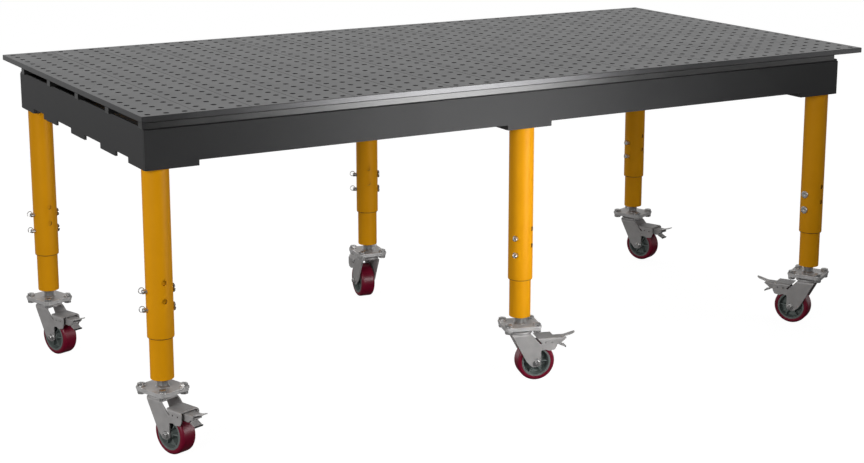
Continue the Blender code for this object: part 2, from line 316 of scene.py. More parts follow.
def scaled(tree, value, factor, operation="MULTIPLY"):
    """A node that multiplies a value by a factor, and with MULTIPLY_ADD adds its third input."""
    node = tree.nodes.new("ShaderNodeMath")
    node.operation = operation
    node.inputs[1].default_value = factor
    tree.links.new(value, node.inputs[0])
    return node


def surface(name, base, shade, roughness, metallic, mottle, fine, bump,
            grain=(1, 1, 1), spread=0.06, depth=0.0004, specular=0.5):
    """A material whose colour wanders between base and shade, with a fine grain in its gloss and relief."""
    made = bpy.data.materials.new(name)
    made.use_nodes = True
    tree = made.node_tree
    nodes, links = tree.nodes, tree.links
    shader = nodes["Principled BSDF"]
    shader.inputs["Metallic"].default_value = metallic
    shader.inputs["Specular IOR Level"].default_value = specular
    place = nodes.new("ShaderNodeTexCoord")
    stretch = nodes.new("ShaderNodeMapping")
    stretch.inputs["Scale"].default_value = grain
    links.new(place.outputs["Object"], stretch.inputs["Vector"])
    wide = noise(tree, place.outputs["Object"], mottle, WIDE_DETAIL)
    close = noise(tree, stretch.outputs["Vector"], fine, CLOSE_DETAIL)
    mix = scaled(tree, wide, WIDE_SHARE, "MULTIPLY_ADD")
    links.new(scaled(tree, close, CLOSE_SHARE).outputs["Value"], mix.inputs[2])
    ramp = nodes.new("ShaderNodeValToRGB")
    for stop, position, color in zip(ramp.color_ramp.elements, (SHADE_TO, BASE_FROM), (shade, base)):
        stop.position = position
        stop.color = (*color, 1)
    links.new(mix.outputs["Value"], ramp.inputs["Fac"])
    links.new(ramp.outputs["Color"], shader.inputs["Base Color"])
    gloss = nodes.new("ShaderNodeMapRange")
    gloss.inputs["From Min"].default_value = GLOSS_SPAN[0]
    gloss.inputs["From Max"].default_value = GLOSS_SPAN[1]
    gloss.inputs["To Min"].default_value = roughness - spread
    gloss.inputs["To Max"].default_value = roughness + spread
    links.new(mix.outputs["Value"], gloss.inputs["Value"])
    links.new(gloss.outputs["Result"], shader.inputs["Roughness"])
    relief = nodes.new("ShaderNodeBump")
    relief.inputs["Strength"].default_value = bump
    relief.inputs["Distance"].default_value = depth
    links.new(close, relief.inputs["Height"])
    links.new(relief.outputs["Normal"], shader.inputs["Normal"])
    return made


PLANK = surface("plank_steel", (0.098, 0.098, 0.10), (0.078, 0.078, 0.08), 0.36, 0.95,
                grain=(1, 0.06, 1), mottle=5, fine=900, spread=0.05, bump=0.10, specular=0.6)
# Near-black for the walls of the planks' holes: painted shade inside the holes.
BORE_PAINTED_SHADE = surface("drilled_bore_painted_shade", (0.022, 0.022, 0.022), (0.014, 0.014, 0.014), 0.6, 0.3,
               mottle=40, fine=900, bump=0.1)
RAIL = surface("rail_steel", (0.09, 0.09, 0.09), (0.065, 0.065, 0.065), 0.36, 0.9,
               grain=(0.1, 1, 1), mottle=7, fine=700, bump=0.12)
PAINT = surface("frame_paint", (0.034, 0.034, 0.035), (0.026, 0.026, 0.027), 0.50, 0.0,
                mottle=6, fine=650, spread=0.04, bump=0.12, depth=0.0002, specular=0.25)
POWDER = surface("leg_powder_coat", (0.82, 0.352, 0.003), (0.76, 0.32, 0.0025), 0.45, 0.0,
                 mottle=9, fine=750, spread=0.04, bump=0.14, depth=0.0002, specular=0.12)
# A darker copy of the leg's powder coat: painted shade in the legs' holes and on the upper tube's lower rim.
HOLE_WALL_PAINTED_SHADE = surface("leg_hole_wall_painted_shade", (0.16, 0.06, 0.004), (0.11, 0.04, 0.003), 0.6, 0.0,
                    mottle=30, fine=750, bump=0.1)
ZINC = surface("zinc_plate", (0.46, 0.445, 0.44), (0.37, 0.36, 0.355), 0.45, 0.2,
               mottle=35, fine=800, spread=0.07, bump=0.06, depth=0.0002, specular=0.4)
# A lighter copy of the zinc: painted light on the foot plates and on the foot lever, whose tops face up.
ZINC_PAINTED_LIGHT = surface("zinc_painted_light", (0.66, 0.65, 0.645), (0.50, 0.49, 0.485), 0.40, 0.3,
                     mottle=40, fine=800, spread=0.07, bump=0.06, depth=0.0002)
BOLT = surface("bolt_steel", (0.70, 0.69, 0.68), (0.52, 0.515, 0.51), 0.28, 0.75,
               mottle=60, fine=900, spread=0.06, bump=0.05, depth=0.0002)
STEM = surface("stem_steel", (0.50, 0.50, 0.50), (0.36, 0.36, 0.36), 0.3, 0.7,
               mottle=50, fine=900, bump=0.06, depth=0.0002)
TREAD = surface("polyurethane_tread", (0.20, 0.005, 0.026), (0.15, 0.004, 0.019), 0.34, 0.0,
                mottle=18, fine=500, spread=0.06, bump=0.06, depth=0.0003, specular=0.4)
HUB = surface("cast_hub", (0.19, 0.22, 0.21), (0.14, 0.163, 0.155), 0.5, 0.2,
              mottle=30, fine=500, bump=0.25, depth=0.0005)
# A near-black, much darker than the zinc, for the end of the release tab.
DARK_PAD = surface("near_black_pad", (0.03, 0.03, 0.03), (0.02, 0.02, 0.02), 0.6, 0.0,
                 mottle=30, fine=500, bump=0.2)


# ---------------------------------------------------------------- top


PLANKS = 16
PLANKS_IN_SECTION = 4
PLANK_WIDTH = 6 * IN
PLANK_LENGTH = 48 * IN
PLANK_THICKNESS = TOP - UNDERSIDE
SEAM = 0.0002
PLANK_EDGE = 0.0010
PITCH = 2 * IN
HOLE = 0.3125 * IN
HOLE_EDGE = 0.02 * IN
HOLE_SIDES = 20
RAILS = 5
RAIL_EDGE = 0.0004


def hole_middle(i, j):
    return (i + 0.5) * PITCH, (j + 0.5) * PITCH


def hole_ring(bm, middle, radius, z):
    angles = [2 * math.pi * k / HOLE_SIDES for k in range(HOLE_SIDES)]
    return [bm.verts.new((*on_circle(middle, radius, angle), z)) for angle in angles]


def plank_face(bm, z, radius, columns, rows):
    """One face of a plank: a square round each hole. Returns its grid of corners and the holes' rims."""
    inset = SEAM / 2 + PLANK_EDGE
    xs = [inset, *[PITCH * i for i in range(1, columns)], PITCH * columns - inset]
    ys = [PLANK_EDGE, *[PITCH * i for i in range(1, rows)], PITCH * rows - PLANK_EDGE]
    grid = {(i, j): bm.verts.new((x, y, z)) for i, x in enumerate(xs) for j, y in enumerate(ys)}
    rims = []
    quarter = HOLE_SIDES // 4
    for i in range(columns):
        for j in range(rows):
            rim = hole_ring(bm, hole_middle(i, j), radius, z)
            rims.append(rim)
            corners = [grid[i + 1, j + 1], grid[i, j + 1], grid[i, j], grid[i + 1, j]]
            for q, corner in enumerate(corners):
                for k in range(q * quarter, (q + 1) * quarter):
                    bm.faces.new((corner, rim[k], rim[(k + 1) % HOLE_SIDES]))
                bm.faces.new((corner, rim[(q + 1) * quarter % HOLE_SIDES], corners[(q + 1) % 4]))
    return grid, rims


def edge_walk(grid, columns, rows):
    """The outermost points of a face, in order round it, each with its outward step."""
    walk = [((i, 0), (0, -1)) for i in range(columns + 1)]
    walk += [((columns, j), (1, 0)) for j in range(rows + 1)]
    walk += [((i, rows), (0, 1)) for i in range(columns, -1, -1)]
    walk += [((0, j), (-1, 0)) for j in range(rows, -1, -1)]
    steps = {}
    for key, (x, y) in walk:
        old = steps.get(key, (0, 0))
        steps[key] = (old[0] + x, old[1] + y)
    return [(grid[key], steps[key]) for key in steps]


def plank_mesh():
    """A plank with every hole and its chamfers. The walls of the holes have a material of their own, a
    near-black that paints the shade inside the holes.
    """
    columns, rows = round(PLANK_WIDTH / PITCH), round(PLANK_LENGTH / PITCH)
    bm = bmesh.new()
    top, top_rims = plank_face(bm, 0, HOLE + HOLE_EDGE, columns, rows)
    bottom, bottom_rims = plank_face(bm, -PLANK_THICKNESS, HOLE + HOLE_EDGE, columns, rows)
    for index, (upper, lower) in enumerate(zip(top_rims, bottom_rims)):
        middle = hole_middle(index // rows, index % rows)
        first = hole_ring(bm, middle, HOLE, -HOLE_EDGE)
        second = hole_ring(bm, middle, HOLE, HOLE_EDGE - PLANK_THICKNESS)
        for a, b in ((upper, first), (first, second), (second, lower)):
            for face in bridge(bm, a, b):
                face.material_index = 1
    above, below = edge_walk(top, columns, rows), edge_walk(bottom, columns, rows)
    loops = [[vert for vert, _ in above]]
    for z in (-PLANK_EDGE, PLANK_EDGE - PLANK_THICKNESS):
        spots = [(v.co.x + x * PLANK_EDGE, v.co.y + y * PLANK_EDGE, z) for v, (x, y) in above]
        loops.append([bm.verts.new(spot) for spot in spots])
    loops.append([vert for vert, _ in below])
    for a, b in zip(loops, loops[1:]):
        bridge(bm, a, b)
    return mesh_of("plank", bm, PLANK, more=(BORE_PAINTED_SHADE,))


def build_top():
    mesh = plank_mesh()
    for i in range(PLANKS):
        place = Matrix.Translation((LEFT + i * PLANK_WIDTH, FRONT, TOP))
        section = f"top_plank_section_{i // PLANKS_IN_SECTION + 1}"
        put(f"plank_{i + 1}", mesh, "table", place, (section,))
    for i in range(1, RAILS + 1):
        bm = bmesh.new()
        box(bm, *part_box(f"support_rail_{i}"))
        mesh = mesh_of("rail", bm, RAIL, RAIL_EDGE, segments=1)
        put(f"rail_{i}", mesh, "table", None, (f"support_rail_{i}",))


# ---------------------------------------------------------------- frame


PAD_BOTTOM = APRON[0].z
FRAME_TOP = APRON[1].z
NOTCH_TOP = TOP - 5.1 * IN
PAD_WIDTH = 5.9 * IN
# Where the aprons' pads start, from the top's left end.
BAYS = (0.35 * IN, 43.53 * IN, 86.7 * IN)
# Where each pad of a cross plate starts and ends, in inches from the front apron.
RIB_PADS = ((0, 4.85), (8.65, 13.4), (18.5, 23.15), (28.25, 33.0), (36.8, 41.65))
CROSS_PLATES = ("left_end_plate", "left_rib", "middle_left_rib", "middle_right_rib", "right_rib",
                "right_end_plate")
TOP_CORNER = 0.02 * IN
PAD_CORNER = 0.06 * IN
PLATE_EDGE = 0.03 * IN
LIP_EDGE = 0.01 * IN
GROOVE = 0.22 * IN
GROOVE_DEPTH = 0.19 * IN


def plate_outline(start, end, pads, top):
    """A plate on edge: straight above, a shallow pad at each support below, small rounds in its corners."""
    points, radii = [(start, top)], [TOP_CORNER]
    for low, high in pads:
        if low > start:
            points.append((low, NOTCH_TOP))
            radii.append(PAD_CORNER)
        points += [(max(low, start), PAD_BOTTOM), (min(high, end), PAD_BOTTOM)]
        radii += [PAD_CORNER, PAD_CORNER]
        if high < end:
            points.append((high, NOTCH_TOP))
            radii.append(PAD_CORNER)
    points.append((end, top))
    radii.append(TOP_CORNER)
    return fillet(points, radii, 4)


def build_aprons():
    """Each apron is a plate with a lip set back above it, which makes the groove under the top."""
    pads = [(LEFT + bay, LEFT + bay + PAD_WIDTH) for bay in BAYS]
    groove_bottom = FRAME_TOP - GROOVE
    for name, setback in (("front_apron", (GROOVE_DEPTH, 0)), ("back_apron", (0, GROOVE_DEPTH))):
        low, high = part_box(name)
        bm = bmesh.new()
        prism(bm, plate_outline(low.x, high.x, pads, groove_bottom), low.y, high.y)
        put(f"{name}_plate", mesh_of(name, bm, PAINT, PLATE_EDGE), "table", None, (name,))
        bm = bmesh.new()
        box(bm, (low.x, low.y + setback[0], groove_bottom), (high.x, high.y - setback[1], FRAME_TOP))
        put(f"{name}_upper_lip", mesh_of(name, bm, PAINT, LIP_EDGE), "table", None)


def build_cross_plates():
    pads = [(APRON[0].y + start * IN, APRON[0].y + end * IN) for start, end in RIB_PADS]
    for name in CROSS_PLATES:
        low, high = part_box(name)
        bm = bmesh.new()
        prism(bm, plate_outline(low.y, high.y, pads, FRAME_TOP), low.x, high.x, "X")
        put(f"{name}_part", mesh_of(name, bm, PAINT, PLATE_EDGE), "table", None, (name,))


# ---------------------------------------------------------------- legs


# The way that the pins' heads face on each of the LEGS, in degrees from +X.
PIN_HEADINGS = (1, 36, 192, 5, -20, 14)
OUTER = 1.428 * IN
OUTER_BORE = 1.275 * IN
OUTER_BOTTOM = TOP - 23.8 * IN
OUTER_LIP = 0.1 * IN
# The upper tube reaches a little way into its flange, and its bore ends a little way below that.
OUTER_TOP = PAD_BOTTOM + 0.1 * IN
OUTER_CEILING = PAD_BOTTOM - 0.4 * IN
# Rings of points down the upper tube, in inches below the top, which keep its faces short.
OUTER_RINGS = (8, 11, 14, 16, 18.2, 19.2, 20.2, 21.2, 22.5)
INNER = 1.25 * IN
INNER_BORE = 1.05 * IN
INNER_TOP = TOP - 14.5 * IN
INNER_BOTTOM = TOP - 28.31 * IN
INNER_FLOOR = INNER_BOTTOM + 0.4 * IN
INNER_LIP = 0.08 * IN
TUBE_EDGE = 0.0004
# A face crosses the upper tube's wall if its middle is between these two distances from the leg's axis. Below
# WALL_HIGHEST such faces take the painted shade.
WALL_INSIDE, WALL_OUTSIDE = OUTER_BORE + 0.0002, OUTER - 0.0003
WALL_HIGHEST = PAD_BOTTOM - 0.6 * IN
CUT_REACH = 2 * IN
CUT_SIDES = 24
PIN = 0.25 * IN
PIN_ROOM = 0.0006
# The slot's length above the pins: the height joint's travel and a little room.
SLIDE_ROOM = 0.072
PIN_HEIGHTS = (TOP - 18.7 * IN, TOP - 20.7 * IN)
EMPTY_HEIGHTS = (TOP - 17.67 * IN, TOP - 19.67 * IN)
PIN_TIP = 1.9 * IN
PIN_EDGE = 0.05 * IN
PIN_CHAMFER = 0.02 * IN
PIN_HEAD = 0.48 * IN
PIN_HEAD_GAP = 0.0003
PIN_HEAD_THICKNESS = 0.19 * IN
RING = 0.31 * IN
RING_WIRE = 0.042 * IN
RING_RISE = 0.08 * IN
RING_TURNS = 2
RING_STEPS = 60
RING_LIFT = math.radians(-35)
# How far along the pin its ring goes through it, and how far out from there the ring's middle is, in radii.
RING_SPOT = 1.74 * IN
RING_OUT = 0.9


def hole_cutter(height, heading):
    """A round bar across the tubes, for a pin or an empty hole."""
    bm = bmesh.new()
    radius = PIN + PIN_ROOM
    lathe(bm, [(0, -CUT_REACH), (radius, -CUT_REACH), (radius, CUT_REACH), (0, CUT_REACH)], CUT_SIDES, "Y")
    bmesh.ops.translate(bm, vec=(0, 0, height), verts=bm.verts)
    turn = Matrix.Rotation(math.radians(heading - 90), 3, "Z")
    bmesh.ops.rotate(bm, verts=bm.verts, cent=(0, 0, 0), matrix=turn)
    return bm


def outer_tube_mesh(heading):
    """The upper tube, closed at the top, with its pin holes and the empty holes that cross them."""
    profile = [(0, OUTER_TOP), (OUTER, OUTER_TOP), *[(OUTER, TOP - depth * IN) for depth in OUTER_RINGS]]
    profile += rounded_rim(OUTER, OUTER_BOTTOM, OUTER_LIP)
    profile += [(OUTER_BORE, OUTER_BOTTOM), (OUTER_BORE, OUTER_CEILING), (0, OUTER_CEILING)]
    bm = bmesh.new()
    lathe(bm, profile, TUBE_SIDES)
    cuts = [hole_cutter(height, heading) for height in PIN_HEIGHTS]
    cuts += [hole_cutter(height, heading + 90) for height in EMPTY_HEIGHTS]
    mesh = mesh_of("outer_tube", bm, POWDER, TUBE_EDGE, cuts, segments=1, more=(HOLE_WALL_PAINTED_SHADE,))
    paint_shade_on_hole_walls(mesh)
    return mesh


def paint_shade_on_hole_walls(mesh):
    """Gives the faces between the tube's two sides, the holes' walls and the lower rim, the darker copy of
    the powder coat, which paints shade on them.
    """
    for face in mesh.polygons:
        if WALL_INSIDE < face.center.xy.length < WALL_OUTSIDE and face.center.z < WALL_HIGHEST:
            face.material_index = 1


def inner_tube_mesh(heading):
    """The lower tube, closed at the bottom, with a slot that clears the pins over the whole travel."""
    profile = [(0, INNER_FLOOR), (INNER_BORE, INNER_FLOOR), (INNER_BORE, INNER_TOP), (INNER, INNER_TOP)]
    profile += [(INNER, INNER_BOTTOM + 2 * IN), *rounded_rim(INNER, INNER_BOTTOM, INNER_LIP)]
    profile.append((0, INNER_BOTTOM))
    bm = bmesh.new()
    lathe(bm, profile, TUBE_SIDES)
    slot = bmesh.new()
    half = PIN + PIN_ROOM
    low, high = min(PIN_HEIGHTS) - half, max(PIN_HEIGHTS) + PIN + SLIDE_ROOM
    box(slot, (-CUT_REACH, -half, low), (CUT_REACH, half, high))
    turn = Matrix.Rotation(math.radians(heading), 3, "Z")
    bmesh.ops.rotate(slot, verts=slot.verts, cent=(0, 0, 0), matrix=turn)
    return mesh_of("inner_tube", bm, POWDER, 0, [slot])


def pin_mesh():
    """A clevis pin along Y, with a flat dimpled head."""
    under = OUTER + PIN_HEAD_GAP
    out = under + PIN_HEAD_THICKNESS
    profile = [(0, -PIN_TIP), (PIN - PIN_EDGE, -PIN_TIP), (PIN, PIN_EDGE - PIN_TIP), (PIN, under)]
    profile += [(PIN_HEAD - PIN_CHAMFER, under), (PIN_HEAD, under + PIN_CHAMFER)]
    profile += rounded_rim(PIN_HEAD, out, PIN_EDGE, -1)
    dimple = inches([(0.16, 0), (0.08, -0.04), (0, -0.05)])
    profile += [(radius, out + along) for radius, along in dimple]
    bm = bmesh.new()
    lathe(bm, profile, PIN_SIDES, "Y")
    return mesh_of("pin", bm, BOLT)


def ring_mesh():
    """A split ring through the pin's tip, standing out past it and tilted up."""
    path = []
    for k in range(RING_STEPS + 1):
        t = k / RING_STEPS
        across, up = on_circle((-RING * RING_OUT, 0), RING, 2 * math.pi * RING_TURNS * t)
        path.append(((t - 0.5) * RING_RISE, across, up))
    bm = bmesh.new()
    sweep(bm, path, RING_WIRE)
    bmesh.ops.rotate(bm, verts=bm.verts, cent=(0, 0, 0), matrix=Matrix.Rotation(RING_LIFT, 3, "X"))
    return mesh_of("split_ring", bm, BOLT)


FLANGE = 0.5 * IN
FLANGE_CORNER = 0.1 * IN
FLANGE_BOLT_INSET = 0.5 * IN
FLANGE_WASHER = 0.4 * IN
FLANGE_BOLT = 0.56 * IN
FLANGE_BOLT_HEIGHT = 0.3 * IN
# A nut sinks this far into its washer, so that no face of one lies in a face of the other.
NUT_SINK = 0.01 * IN
WASHER = 0.06 * IN


def build_flange(where, post):
    """The plate that holds the leg in its bay, and the four bolts that hold the plate."""
    low, high = [corner - post.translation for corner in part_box(f"{where}_outer_tube")]
    top = PAD_BOTTOM + FLANGE
    bm = bmesh.new()
    prism(bm, fillet(rectangle(low, high), FLANGE_CORNER, 3), PAD_BOTTOM, top, "Z")
    put(f"{where}_flange", mesh_of("flange", bm, PAINT, PLATE_EDGE), "table", post)
    bm = bmesh.new()
    for x in (low.x + FLANGE_BOLT_INSET, high.x - FLANGE_BOLT_INSET):
        for y in (low.y + FLANGE_BOLT_INSET, high.y - FLANGE_BOLT_INSET):
            disc(bm, (x, y), FLANGE_WASHER, top, top + WASHER)
            hex_shape(bm, (x, y), FLANGE_BOLT, top + WASHER - NUT_SINK, top + FLANGE_BOLT_HEIGHT)
    put(f"{where}_flange_bolts", mesh_of("flange_bolts", bm, BOLT), "table", post)


# ---------------------------------------------------------------- feet


FOOT_TOP = 6.9 * IN
FOOT_MIDDLE = 6.65 * IN
FOOT_BOTTOM = 6.4 * IN
FOOT_GAP = 0.0002
FOOT_LENGTH = 4.5 * IN
FOOT_WIDTH = 4.0 * IN
FOOT_CORNER = 0.55 * IN
CASTER_PLATE_SETBACK = 0.06 * IN
FOOT_BOLTS = [(side * 1.7 * IN, end * 1.45 * IN) for side in (-1, 1) for end in (-1, 1)]
FOOT_BOLT = 0.25 * IN
FOOT_BOLT_BOTTOM = 6.35 * IN
FOOT_WASHER = 0.52 * IN
FOOT_NUT = 0.8 * IN
FOOT_NUT_TOP = 7.22 * IN
FOOT_HEAD_BOTTOM = 6.07 * IN
THREAD_PITCH = 0.09 * IN
THREAD_CREST = 0.62 * IN
THREAD_ROOT = 0.565 * IN


def foot_plate_mesh(low, high, setback):
    half = (FOOT_LENGTH / 2 - setback, FOOT_WIDTH / 2 - setback)
    bm = bmesh.new()
    prism(bm, fillet(rectangle((-half[0], -half[1]), half), FOOT_CORNER, 7), low, high, "Z")
    # The plates take the lighter zinc, which paints light on their tops.
    return mesh_of("foot_plate", bm, ZINC_PAINTED_LIGHT, PLATE_EDGE)


def foot_bolts_mesh():
    """Four bolts up through both plates, with their heads below, and washers and nuts above."""
    bm = bmesh.new()
    for middle in FOOT_BOLTS:
        disc(bm, middle, FOOT_BOLT, FOOT_BOLT_BOTTOM, FOOT_NUT_TOP)
        disc(bm, middle, FOOT_WASHER, FOOT_TOP, FOOT_TOP + WASHER)
        hex_shape(bm, middle, FOOT_NUT, FOOT_TOP + WASHER - NUT_SINK, FOOT_NUT_TOP)
        hex_shape(bm, middle, FOOT_NUT, FOOT_HEAD_BOTTOM, FOOT_BOTTOM)
    return mesh_of("foot_bolts", bm, BOLT)


def stem_mesh():
    """The threaded stem between the leg and the foot plate, with its weld collar."""
    low, high = FOOT_TOP, INNER_BOTTOM
    collar = [*inches([(0, 0), (0.8, 0), (0.8, 0.03), (0.66, 0.16)]), (THREAD_ROOT, 0.18 * IN)]
    profile = [(radius, low + up) for radius, up in collar]
    z = low + 0.2 * IN
    while z < high - THREAD_PITCH:
        profile += [(THREAD_ROOT, z), (THREAD_CREST, z + THREAD_PITCH * 0.35)]
        profile += [(THREAD_CREST, z + THREAD_PITCH * 0.5), (THREAD_ROOT, z + THREAD_PITCH * 0.9)]
        z += THREAD_PITCH
    profile += [(THREAD_ROOT, high), (0, high)]
    bm = bmesh.new()
    lathe(bm, profile, PIN_SIDES)
    return mesh_of("stem", bm, STEM)


def race_mesh():
    """The half of the swivel's housing that is fixed under the caster plate."""
    profile = inches([(0, 6.15), (1.25, 6.15), (1.35, 6.2), (1.35, 6.36)])
    profile += [(1.28 * IN, FOOT_BOTTOM), (0, FOOT_BOTTOM)]
    bm = bmesh.new()
    lathe(bm, profile, RACE_SIDES)
    return mesh_of("swivel_race", bm, ZINC)


def foot_pieces():
    """What is bolted or welded to the lower tube, as (name, mesh) pairs."""
    foot_plate = foot_plate_mesh(FOOT_MIDDLE + FOOT_GAP, FOOT_TOP, 0)
    caster_plate = foot_plate_mesh(FOOT_BOTTOM, FOOT_MIDDLE, CASTER_PLATE_SETBACK)
    return (("stem", stem_mesh()), ("foot_plate", foot_plate), ("caster_plate", caster_plate),
            ("plate_bolts", foot_bolts_mesh()), ("swivel_race", race_mesh()))


# ---------------------------------------------------------------- casters


TRAIL = 1.83 * IN
WHEEL = 2.25 * IN
HALF_WHEEL = 0.93 * IN
# Where the holes through the brake's housing are, along the caster, and how high.
HOUSING_HOLES = (2.85 * IN, 3.65 * IN)
HOUSING_HOLE_HEIGHT = 4.62 * IN
HOUSING_HOLE = 0.1 * IN
AXLE = 0.25 * IN
AXLE_ENDS = (-1.6 * IN, 1.62 * IN)
# What the axle bolt carries on each side, in inches: its radius or width, its start and its end.
AXLE_SPACER = (0.4, 0.935, 1.08)
AXLE_WASHER = (0.48, 1.28, 1.33)
AXLE_NUT = (0.62, 1.33, 1.56)
LEVER_SHEET = 0.1 * IN
LEVER_EDGE = 0.015 * IN
LEVER_CORNER = 0.12 * IN
TONGUE_HEIGHT = 4.86 * IN
# The tongue's slope from its root, and how much more it slopes from where its tip starts.
TONGUE_ROOT, TONGUE_SLOPE = 5.1 * IN, 0.23
TIP_START, TIP_SLOPE = 6.3 * IN, 0.3
LOWER_LEVER_HEIGHT = 4.62 * IN
LOWER_LEVER_ROOT, LOWER_LEVER_SLOPE = 4.5 * IN, 0.03
TAB_CORNER = 0.05 * IN
TAB_HALF = 0.5 * IN
PAD_HALF = 0.56 * IN
ROLLER = 0.2 * IN
ROLLER_HALF = 0.62 * IN
ROLLER_SPOT = (4.55 * IN, 4.45 * IN)


def channel(bm, half, sheet, top, bend, low, start, end):
    """A sheet bent into an upside-down U across the caster, running along x. Its sizes are in inches."""
    outer, inner = half, half - sheet
    points, radii = [(-outer, low), (-outer, top), (outer, top), (outer, low)], [0, bend, bend, 0]
    points += [(inner, low), (inner, top - sheet), (-inner, top - sheet), (-inner, low)]
    radii += [0, bend - sheet, bend - sheet, 0]
    prism(bm, fillet(inches(points), [r * IN for r in radii], 6), start * IN, end * IN, "X")


def side_mask(side, radii, steps):
    """What a channel keeps, seen from the side: an outline and its corners' radii, in inches."""
    mask = bmesh.new()
    prism(mask, fillet(inches(side), [r * IN for r in radii], steps), -CUT_REACH, CUT_REACH)
    return mask


def lay_across(bm, along, up):
    """Turns what was built upright so that it lies along Y, at a place in the caster."""
    bmesh.ops.rotate(bm, verts=bm.verts, cent=(0, 0, 0), matrix=Matrix.Rotation(math.radians(-90), 3, "X"))
    bmesh.ops.translate(bm, vec=(along, 0, up), verts=bm.verts)


def fork_mesh():
    """Both fork legs and the crown between them, pressed from one sheet."""
    bm = bmesh.new()
    channel(bm, 1.28, 0.2, 5.9, 0.42, 1.2, -1.6, 2.6)
    side = [(-1.33, 5.95), (0.86, 5.95), (2.33, 4.4), (2.33, 1.95), (1.9, 1.7), (1.25, 1.72), (0.56, 2.4)]
    mask = side_mask(side, (0, 0.1, 0.3, 0.3, 0.4, 0.4, 0.5), 6)
    return mesh_of("fork", bm, ZINC, 0.05 * IN, keep=(mask,), segments=3)


def brake_housing_mesh():
    """The channel behind the fork that holds the brake, with its end at the fork cut at a slant."""
    bm = bmesh.new()
    channel(bm, 1.25, 0.12, 5.2, 0.25, 3.0, 1.6, 4.6)
    side = [(1.97, 3.62), (1.97, 4.36), (2.46, 4.54), (1.8, 5.25), (3.98, 5.25), (4.25, 4.95), (4.25, 4.15),
            (4.0, 3.72), (3.3, 3.6), (2.9, 3.78)]
    mask = side_mask(side, (0.05, 0.05, 0.04, 0, 0.1, 0.1, 0.2, 0.2, 0.25, 0.25), 5)
    holes = []
    for along in HOUSING_HOLES:
        hole = bmesh.new()
        disc(hole, (0, 0), HOUSING_HOLE, -CUT_REACH, CUT_REACH, 16)
        lay_across(hole, along, HOUSING_HOLE_HEIGHT)
        holes.append(hole)
    return mesh_of("brake_housing", bm, ZINC, 0.02 * IN, holes, keep=(mask,))


def head_mesh():
    """The half of the swivel's housing that turns with the fork."""
    profile = inches([(0, 5.86), (1.5, 5.86), (1.5, 6.02), (1.45, 6.1), (1.36, 6.12), (0, 6.12)])
    bm = bmesh.new()
    lathe(bm, profile, RACE_SIDES)
    return mesh_of("swivel_head", bm, ZINC)


def axle_bolt_mesh():
    """The axle bolt, with a spacer inside each fork leg, and a washer and a hexagon outside it."""
    bm = bmesh.new()
    disc(bm, (0, 0), AXLE, *AXLE_ENDS)
    for side in (-IN, IN):
        for shape, (size, near, far) in ((disc, AXLE_SPACER), (disc, AXLE_WASHER), (hex_shape, AXLE_NUT)):
            shape(bm, (0, 0), size * IN, *sorted((side * near, side * far)))
    lay_across(bm, TRAIL, WHEEL)
    return mesh_of("fork_hardware", bm, BOLT)


def caster_pieces():
    """What turns about the swivel, as (name, mesh) pairs."""
    return (("fork", fork_mesh()), ("brake_housing", brake_housing_mesh()), ("swivel_head", head_mesh()),
            ("axle_bolt", axle_bolt_mesh()))


def pedal_cover_mesh():
    """A narrow channel in the housing's open end."""
    bm = bmesh.new()
    channel(bm, 0.7, 0.1, 4.97, 0.14, 4.1, 3.58, 5.47)
    mask = side_mask([(3.56, 4.2), (3.56, 5.1), (5.45, 5.1), (5.45, 4.72), (4.7, 4.16)], [0.1] * 5, 4)
    return mesh_of("pedal_cover", bm, ZINC, LEVER_EDGE, keep=(mask,))


def lever_mesh(name, outline, height, rise, material):
    """A lever cut from flat sheet. rise says how much higher it is at a place along the caster."""
    bm = bmesh.new()
    prism(bm, fillet(inches(outline), LEVER_CORNER, 4), height, height + LEVER_SHEET, "Z")
    for vert in bm.verts:
        vert.co.z += rise(vert.co.x)
    return mesh_of(name, bm, material, LEVER_EDGE)


def tongue_mesh():
    """The foot lever, which slopes up and turns up more at its tip. Its lighter zinc paints light on it."""
    side = [(5.0, 0.62), (5.5, 0.42), (6.45, 0.36), (6.72, 0.2)]
    outline = [(x, -y) for x, y in side] + side[::-1]

    def rise(x):
        return (x - TONGUE_ROOT) * TONGUE_SLOPE + max(0, x - TIP_START) * TIP_SLOPE

    return lever_mesh("pedal_tongue", outline, TONGUE_HEIGHT, rise, ZINC_PAINTED_LIGHT)


def lower_lever_mesh():
    """The second, shorter lever under the tongue."""
    outline = [(4.5, -0.5), (5.45, -0.5), (5.7, -0.3), (5.7, 0.3), (5.45, 0.5), (4.5, 0.5)]

    def rise(x):
        return (x - LOWER_LEVER_ROOT) * LOWER_LEVER_SLOPE

    return lever_mesh("lower_lever", outline, LOWER_LEVER_HEIGHT, rise, ZINC)


def bent_mesh(name, outline, half, material, edge):
    """A piece of one section from side to side."""
    bm = bmesh.new()
    prism(bm, fillet(inches(outline), TAB_CORNER, 4), -half, half)
    return mesh_of(name, bm, material, edge)


def release_tab_mesh():
    """The tab that lets the brake go, bent down and out below the levers."""
    outline = [(4.3, 4.55), (4.62, 4.62), (4.95, 4.14), (5.56, 3.80), (5.52, 3.69), (4.84, 3.98), (4.5, 4.3)]
    return bent_mesh("release_tab", outline, TAB_HALF, ZINC, LEVER_EDGE)


def tab_pad_mesh():
    """The dark end of the release tab."""
    outline = [(5.5, 3.86), (5.6, 3.84), (5.56, 3.64), (5.46, 3.7)]
    return bent_mesh("tab_pad", outline, PAD_HALF, DARK_PAD, 0.01 * IN)


def brake_roller_mesh():
    """The bar across the pedal's cover at its open end."""
    bm = bmesh.new()
    disc(bm, (0, 0), ROLLER, -ROLLER_HALF, ROLLER_HALF, 24)
    lay_across(bm, *ROLLER_SPOT)
    return mesh_of("brake_roller", bm, BOLT)


def pedal_pieces():
    """What tips with the pedal, as (name, mesh) pairs."""
    return (("pedal_cover", pedal_cover_mesh()), ("pedal_tongue", tongue_mesh()),
            ("lower_lever", lower_lever_mesh()), ("release_tab", release_tab_mesh()),
            ("tab_pad", tab_pad_mesh()), ("brake_roller", brake_roller_mesh()))


